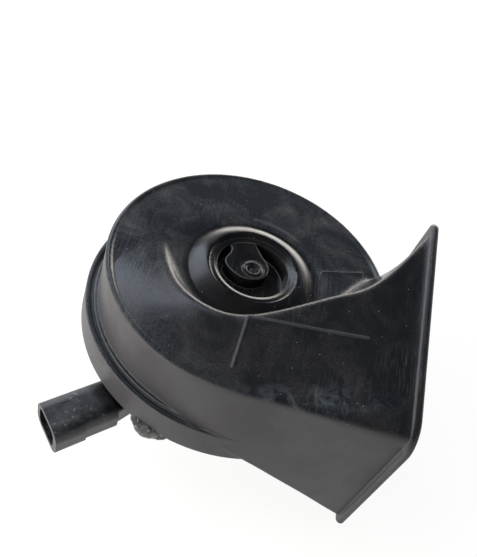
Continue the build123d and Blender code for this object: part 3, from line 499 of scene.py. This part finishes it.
blended = add(tree, "ShaderNodeMix", {"Factor": on_dome.outputs[0], 4: blended.outputs[1],
                                      5: swell.outputs[0]}, data_type="VECTOR")

# the film: patchy, with a fine grain, thickest on the flat of the face
on_face = add(tree, "ShaderNodeMapRange", {"Value": spot.outputs["Z"]},
              {"From Min": rim_level + film_stand[1], "From Max": rim_level + film_stand[0], "To Min": 0.35})
fine = add(tree, "ShaderNodeTexNoise", {"Vector": place.outputs["Object"]},
           {"Scale": 1 / film_grain, "Detail": 4.0, "Roughness": 0.7})
fine = add(tree, "ShaderNodeMapRange", {"Value": fine.outputs[0]}, {"From Min": 0.25, "From Max": 0.85})
film = add(tree, "ShaderNodeMath", {0: smudged.outputs[0]}, {1: 1 - film_least, 2: film_least},
           operation="MULTIPLY_ADD")
film = add(tree, "ShaderNodeMath", {0: film.outputs[0], 1: fine.outputs[0]}, operation="MULTIPLY")
film = add(tree, "ShaderNodeMath", {0: film.outputs[0], 1: on_face.outputs[0]}, operation="MULTIPLY")
film = add(tree, "ShaderNodeMath", {0: film.outputs[0], 1: out_of_dome.outputs[0]}, operation="MULTIPLY")

# dry scuffs in a strip along the front edge of the duct
strip = add(tree, "ShaderNodeVectorMath", {0: place.outputs["Object"]}, {1: scuff_place},
            operation="SUBTRACT")
strip = add(tree, "ShaderNodeVectorRotate", {0: strip.outputs[0]}, {"Angle": -scuff_turn},
            rotation_type="Z_AXIS")
strip = add(tree, "ShaderNodeVectorMath", {0: strip.outputs[0]},
            {1: (1 / scuff_reach[0], 1 / scuff_reach[1], 0)}, operation="MULTIPLY")
strip = add(tree, "ShaderNodeVectorMath", {0: strip.outputs[0]}, operation="LENGTH")
strip = add(tree, "ShaderNodeMapRange", {"Value": strip.outputs["Value"]},
            {"From Min": 1.0, "From Max": 0.35})
smear = add(tree, "ShaderNodeTexNoise", {"Vector": place.outputs["Object"]},
            {"Scale": 1 / smear_size, "Detail": 8.0, "Roughness": 0.75, "Distortion": 1.2})
smear = add(tree, "ShaderNodeMapRange", {"Value": smear.outputs[0]}, {"From Min": 0.46, "From Max": 0.72})
scuffed = add(tree, "ShaderNodeMath", {0: strip.outputs[0], 1: smear.outputs[0]}, operation="MULTIPLY")
film = add(tree, "ShaderNodeMath", {0: film.outputs[0], 1: scuffed.outputs[0]}, operation="ADD")

# colour: black under the film on top, grey on the walls, then stains, scratches, dust and painted highlights
# on edges
top_tint = add(tree, "ShaderNodeMix", {"Factor": film.outputs[0]},
               {6: linear(top_black), 7: linear(film_grey)}, data_type="RGBA")
tint = add(tree, "ShaderNodeMix", {"Factor": on_wall.outputs[0], 6: top_tint.outputs[2]},
           {7: linear(wall_grey)}, data_type="RGBA")
stained = add(tree, "ShaderNodeMath", {0: smudged.outputs[0]}, {1: stain_share}, operation="MULTIPLY")
tint = add(tree, "ShaderNodeMix", {"Factor": stained.outputs[0], 6: tint.outputs[2]},
           {7: linear(stain_brown)}, data_type="RGBA")
marks_and_highlight = add(tree, "ShaderNodeMath", {0: scratched.outputs[0]}, {1: scratch_share}, operation="MULTIPLY")
marks_and_highlight = add(tree, "ShaderNodeMath", {0: dusty.outputs[0], 1: marks_and_highlight.outputs[0]}, operation="MAXIMUM")
marks_and_highlight = add(tree, "ShaderNodeMath", {0: painted_edge_highlight.outputs[0], 1: marks_and_highlight.outputs[0]}, operation="MAXIMUM")
tint = add(tree, "ShaderNodeMix", {"Factor": marks_and_highlight.outputs[0], 6: tint.outputs[2]},
           {7: linear(worn_and_highlight_grey)}, data_type="RGBA")

# gloss: polished top, satin walls, both duller where they are smudged or scratched
matt = add(tree, "ShaderNodeMix", {"Factor": on_wall.outputs[0]}, {2: top_roughness, 3: wall_roughness},
           data_type="FLOAT")
matt = add(tree, "ShaderNodeMath", {0: smudged.outputs[0], 2: matt.outputs[0]}, {1: 0.12},
           operation="MULTIPLY_ADD")
matt = add(tree, "ShaderNodeMath", {0: marks_and_highlight.outputs[0], 2: matt.outputs[0]}, {1: 0.5},
           operation="MULTIPLY_ADD")

# relief: the grain stands out on the walls and the scratches are cut in
relief = add(tree, "ShaderNodeMath", {0: grain.outputs[0], 1: on_wall.outputs[0]}, operation="MULTIPLY")
relief = add(tree, "ShaderNodeMath", {0: scratched.outputs[0], 2: relief.outputs[0]}, {1: -scratch_depth},
             operation="MULTIPLY_ADD")
bump = add(tree, "ShaderNodeBump", {"Height": relief.outputs[0], "Normal": blended.outputs[1]},
           {"Strength": 0.25, "Distance": grain_depth})
shine = add(tree, "ShaderNodeMix", {"Factor": on_wall.outputs[0]}, {2: top_specular, 3: wall_specular},
            data_type="FLOAT")
shader = add(tree, "ShaderNodeBsdfPrincipled",
             {"Base Color": tint.outputs[2], "Roughness": matt.outputs[0], "Normal": bump.outputs[0],
              "Specular IOR Level": shine.outputs[0]},
             {"IOR": 1.5})
add(tree, "ShaderNodeOutputMaterial", {"Surface": shader.outputs[0]})
dress(polished_black_pbt, "trumpet_cover")

# ---------------------------------------------------------------- connector
# A two-way socket moulded in glass filled nylon, riveted to the side of the pan over a sheet of EPDM
# rubber, with two tinned brass blades in it. The nylon is dark grey and dull, rubbed paler in places,
# and painted black as shade where it meets the pan under the skirt.

nylon_dark = "#111214"
nylon_pale = "#2d3033"
chip_grey = "#85888a"
painted_shade_black = "#070708"
scuff_size = 3.5 * MM
scuff_depth = 0.4 * MM
chip_size = 0.8 * MM
painted_shade_reach = (47.8 * MM, 49.0 * MM)   # from the disc axis: all painted shade, and none

moulded_grey_nylon = new_material("moulded_glass_filled_nylon")
tree = moulded_grey_nylon.node_tree
place = add(tree, "ShaderNodeTexCoord")
rubbed = add(tree, "ShaderNodeTexNoise", {"Vector": place.outputs["Object"]},
             {"Scale": 1 / scuff_size, "Detail": 8.0, "Roughness": 0.72, "Distortion": 0.4})
pale = add(tree, "ShaderNodeMapRange", {"Value": rubbed.outputs[0]}, {"From Min": 0.42, "From Max": 0.75})
tint = add(tree, "ShaderNodeMix", {"Factor": pale.outputs[0]}, {6: linear(nylon_dark), 7: linear(nylon_pale)},
           data_type="RGBA")
chips = add(tree, "ShaderNodeTexNoise", {"Vector": place.outputs["Object"]},
            {"Scale": 1 / chip_size, "Detail": 3.0, "Roughness": 0.7})
chips = add(tree, "ShaderNodeMapRange", {"Value": chips.outputs[0]}, {"From Min": 0.60, "From Max": 0.70})
worn = add(tree, "ShaderNodeMath", {0: chips.outputs[0], 1: pale.outputs[0]}, operation="MULTIPLY")
tint = add(tree, "ShaderNodeMix", {"Factor": worn.outputs[0], 6: tint.outputs[2]}, {7: linear(chip_grey)},
           data_type="RGBA")
flat = add(tree, "ShaderNodeVectorMath", {0: place.outputs["Object"]}, {1: (1, 1, 0)}, operation="MULTIPLY")
from_axis = add(tree, "ShaderNodeVectorMath", {0: flat.outputs[0]}, operation="LENGTH")
# painted shade: the nylon turns black near the pan, where its neck lies in shade under the skirt
painted_neck_shade = add(tree, "ShaderNodeMapRange", {"Value": from_axis.outputs["Value"]},
              {"From Min": painted_shade_reach[1], "From Max": painted_shade_reach[0]})
tint = add(tree, "ShaderNodeMix", {"Factor": painted_neck_shade.outputs[0], 6: tint.outputs[2]},
           {7: linear(painted_shade_black)}, data_type="RGBA")
matt = add(tree, "ShaderNodeMapRange", {"Value": rubbed.outputs[0]},
           {"From Min": 0.3, "From Max": 0.7, "To Min": 0.3, "To Max": 0.52})
bump = add(tree, "ShaderNodeBump", {"Height": rubbed.outputs[0]}, {"Strength": 0.35, "Distance": scuff_depth})
shader = add(tree, "ShaderNodeBsdfPrincipled",
             {"Base Color": tint.outputs[2], "Roughness": matt.outputs[0], "Normal": bump.outputs[0]},
             {"IOR": 1.53})
add(tree, "ShaderNodeOutputMaterial", {"Surface": shader.outputs[0]})
dress(moulded_grey_nylon, "connector_housing")

# rubber is the mattest black here, the tinned blades are a soft silver, the rivets bare aluminium
cut_epdm_rubber = grained("cut_epdm_rubber", "#111111", "#1c1c1c", grain=0.6, roughness=0.8, relief=0.4)
tinned_brass = grained("rolled_tinned_brass", "#a9a595", "#cdc9ba",
                       grain=0.5, roughness=0.34, metallic=1.0, relief=0.1, stretch=(0.15, 1, 1))
headed_aluminium = grained("headed_aluminium", "#a4a6a8", "#cfd0d1",
                           grain=0.7, roughness=0.38, metallic=1.0)
dress(cut_epdm_rubber, "connector_gasket")
dress(tinned_brass, "live_terminal", "ground_terminal")
dress(headed_aluminium, "connector_rivets")

# ---------------------------------------------------------------- sealing compound
# A bead of bitumen compound, pressed by hand into the gap between pan and skirt beside the connector.
# It has set in folds and lumps, dull dark grey, with pale highlights painted on where the folds stand
# highest.

bead_start = math.radians(-117.6)
bead_end = math.radians(-102.6)
bead_rows = 40
# section through the bead at its thickest: distance from the disc axis and height, in mm
bead_section = [(38.4, 26.2), (38.2, 24.0), (38.1, 22.0), (38.7, 20.2), (39.9, 18.9), (41.4, 18.2),
                (43.2, 18.3), (44.9, 19.0), (46.0, 20.5), (46.5, 22.4), (46.1, 24.3), (45.0, 25.3),
                (43.6, 25.0), (42.2, 26.0)]
bead_middle = (41, 22.5)
bead_lowest = 17.9
skirt_foot = 24.0         # height of the skirt's lower edge
skirt_side = 44.0         # from here outwards the bead stands clear of the pan
# how far it hangs below the skirt and stands out from it along its length
bead_hang = [0.45, 0.8, 1.05, 1.1, 1.15, 1.05, 0.9, 0.85, 0.6, 0.35]

compound_points = []
compound_faces = []
for row in range(bead_rows + 1):
    share = row / bead_rows
    angle = bead_start + (bead_end - bead_start) * share
    step = share * (len(bead_hang) - 1)
    low = min(int(step), len(bead_hang) - 2)
    hang = bead_hang[low] + (bead_hang[low + 1] - bead_hang[low]) * (step - low)
    # the bead tapers only close to its two ends, and to a quarter of its thickness
    end = min(1.0, math.sqrt(max(0.0, 1 - (2 * share - 1) ** 8)) + 0.25)
    for far, high in bead_section:
        below = max(0.0, skirt_foot - high)
        reach = min(far, skirt_side) + max(0.0, far - skirt_side) * hang * end
        height = skirt_foot - below * hang * end if below else high
        # lumps with finer folds on them, and none where the bead lies in the gap
        folded = Vector((share * 5, far * 0.9, high * 0.9))
        lump = noise.noise(folded) * 0.9 + abs(noise.noise(folded * 2.3)) * 0.6 - 0.2
        outward = Vector((math.cos(angle) * (far - bead_middle[0]), math.sin(angle) * (far - bead_middle[0]),
                          high - bead_middle[1])).normalized()
        point = Vector((math.cos(angle) * reach, math.sin(angle) * reach, height))
        point += outward * lump * min(1.0, max(below, far - skirt_side) / 1.5)
        point.z = max(point.z, bead_lowest)
        compound_points.append(point * MM)
ring = len(bead_section)
for row in range(bead_rows):
    for turn_at in range(ring):
        after = (turn_at + 1) % ring
        compound_faces.append((row * ring + turn_at, row * ring + after,
                               (row + 1) * ring + after, (row + 1) * ring + turn_at))
compound_faces.append(tuple(range(ring))[::-1])
compound_faces.append(tuple(bead_rows * ring + turn_at for turn_at in range(ring)))

compound_mesh = bpy.data.meshes.new("pressed_compound")
compound_mesh.from_pydata(compound_points, [], compound_faces)
bead_builder = bmesh.new()
bead_builder.from_mesh(compound_mesh)
bmesh.ops.recalc_face_normals(bead_builder, faces=bead_builder.faces)
bead_builder.to_mesh(compound_mesh)
bead_builder.free()
compound_mesh.polygons.foreach_set("use_smooth", [True] * len(compound_mesh.polygons))
pressed_compound = bpy.data.objects.new("pressed_compound", compound_mesh)
bpy.context.scene.collection.objects.link(pressed_compound)
smoother = pressed_compound.modifiers.new("rounding", "SUBSURF")
smoother.levels = 2
smoother.render_levels = 2

fold_size = 1.6 * MM
fold_depth = 0.6 * MM
compound_dark = "#232324"
compound_highlight_grey = "#6f6e6c"

set_compound = new_material("set_bitumen_compound")
tree = set_compound.node_tree
place = add(tree, "ShaderNodeTexCoord")
folds = add(tree, "ShaderNodeTexNoise", {"Vector": place.outputs["Object"]},
            {"Scale": 1 / fold_size, "Detail": 6.0, "Roughness": 0.65, "Distortion": 1.2})
# painted highlight: pale grey on the highest parts of the folds
painted_fold_highlight = add(tree, "ShaderNodeMapRange", {"Value": folds.outputs[0]}, {"From Min": 0.5, "From Max": 0.66})
tint = add(tree, "ShaderNodeMix", {"Factor": painted_fold_highlight.outputs[0]},
           {6: linear(compound_dark), 7: linear(compound_highlight_grey)}, data_type="RGBA")
matt = add(tree, "ShaderNodeMapRange", {"Value": folds.outputs[0]}, {"To Min": 0.25, "To Max": 0.6})
bump = add(tree, "ShaderNodeBump", {"Height": folds.outputs[0]}, {"Strength": 0.7, "Distance": fold_depth})
shader = add(tree, "ShaderNodeBsdfPrincipled",
             {"Base Color": tint.outputs[2], "Roughness": matt.outputs[0], "Normal": bump.outputs[0]},
             {"IOR": 1.55})
add(tree, "ShaderNodeOutputMaterial", {"Surface": shader.outputs[0]})
compound_mesh.materials.append(set_compound)
dress(set_compound, "sealing_compound")
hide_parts("sealing_compound")
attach(pressed_compound, "horn")
